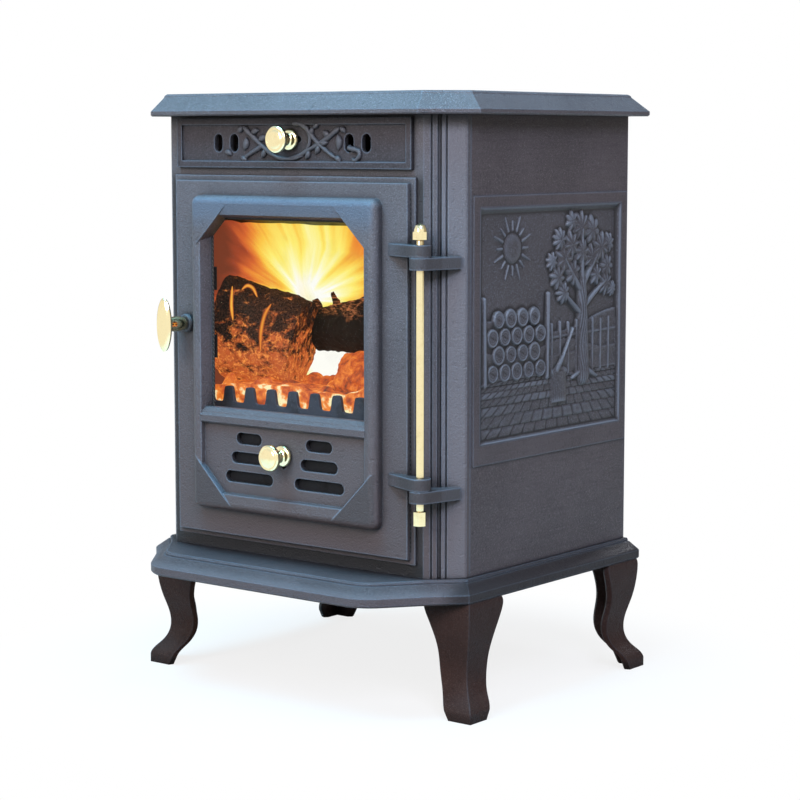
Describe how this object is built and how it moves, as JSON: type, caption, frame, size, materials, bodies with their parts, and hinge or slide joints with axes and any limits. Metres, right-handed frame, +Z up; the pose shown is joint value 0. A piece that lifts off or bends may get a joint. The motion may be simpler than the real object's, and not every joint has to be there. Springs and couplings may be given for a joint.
{
  "type": "wood stove",
  "caption": "Small cast-iron wood stove on cabriole legs with a glazed side-hung fire door, brass air knobs and oval handle, fluted corners, relief side panels and a rear flue spigot.",
  "frame": {"origin": "on the floor under the middle of the stove's overall box", "axes": "+X to the right seen from the front, -Y to the front where the door is, +Z up"},
  "size_m": [0.4326, 0.432, 0.61],
  "materials": {
    "painted_iron": "matt charcoal stove paint with a fine sandy grain",
    "bare_iron": "bare iron darkened by fire",
    "brass": "polished",
    "steel": "dull steel",
    "glass": "clear heat-proof ceramic glass",
    "rope": "woven fibre rope and tape",
    "firebrick": "pale fired clay"
  },
  "bodies": {
    "stove": {"base_plate": "painted_iron", "front_frame": "painted_iron", "left_side_panel": "painted_iron", "right_side_panel": "painted_iron", "back_panel": "painted_iron", "top_plate": "painted_iron", "blanking_plate": "painted_iron", "flue_collar": "painted_iron", "vent_panel": "painted_iron", "front_left_leg": "painted_iron", "front_right_leg": "painted_iron", "rear_left_leg": "painted_iron", "rear_right_leg": "painted_iron", "grate_frame": "bare_iron", "grate": "bare_iron", "log_guard": "bare_iron", "baffle_plate": "bare_iron", "blanking_clamp": "bare_iron", "hinge_rod": "brass", "hinge_cap_nut": "brass", "hinge_lower_nut": "brass", "blanking_bolt": "steel", "flue_collar_bolts": "steel", "vent_panel_screws": "steel", "tie_rods": "steel", "tie_rod_nuts": "steel", "ash_pan": "steel", "left_firebrick": "firebrick", "right_firebrick": "firebrick", "rear_firebrick": "firebrick"},
    "door": {"door": "painted_iron", "door_glass": "glass", "glass_gasket": "rope", "glass_clips": "steel", "glass_clip_screws": "steel", "door_rope_seal": "rope", "primary_guides": "steel", "handle_bush": "painted_iron"},
    "primary_air": {"primary_slider": "steel", "primary_knob": "brass"},
    "secondary_air": {"secondary_slider": "steel", "secondary_knob": "brass"},
    "handle": {"handle_knob": "brass", "latch_spindle": "steel", "latch_cam": "steel", "latch_nut": "steel"}
  },
  "joints": [
    {"name": "door_hinge", "type": "hinge", "parent": "stove", "child": "door", "pos_m": [0.174, -0.165, 0.34], "axis": [0, 0, 1], "range_deg": [0, 120]},
    {"name": "handle_turn", "type": "hinge", "parent": "door", "child": "handle", "pos_m": [-0.1365, -0.16, 0.3743], "axis": [0, -1, 0], "range_deg": [0, 90]},
    {"name": "primary_air_slide", "type": "slide", "parent": "door", "child": "primary_air", "axis": [0, 0, 1], "range_m": [-0.01, 0]},
    {"name": "secondary_air_slide", "type": "slide", "parent": "stove", "child": "secondary_air", "axis": [1, 0, 0], "range_m": [0, 0.011]}
  ]
}
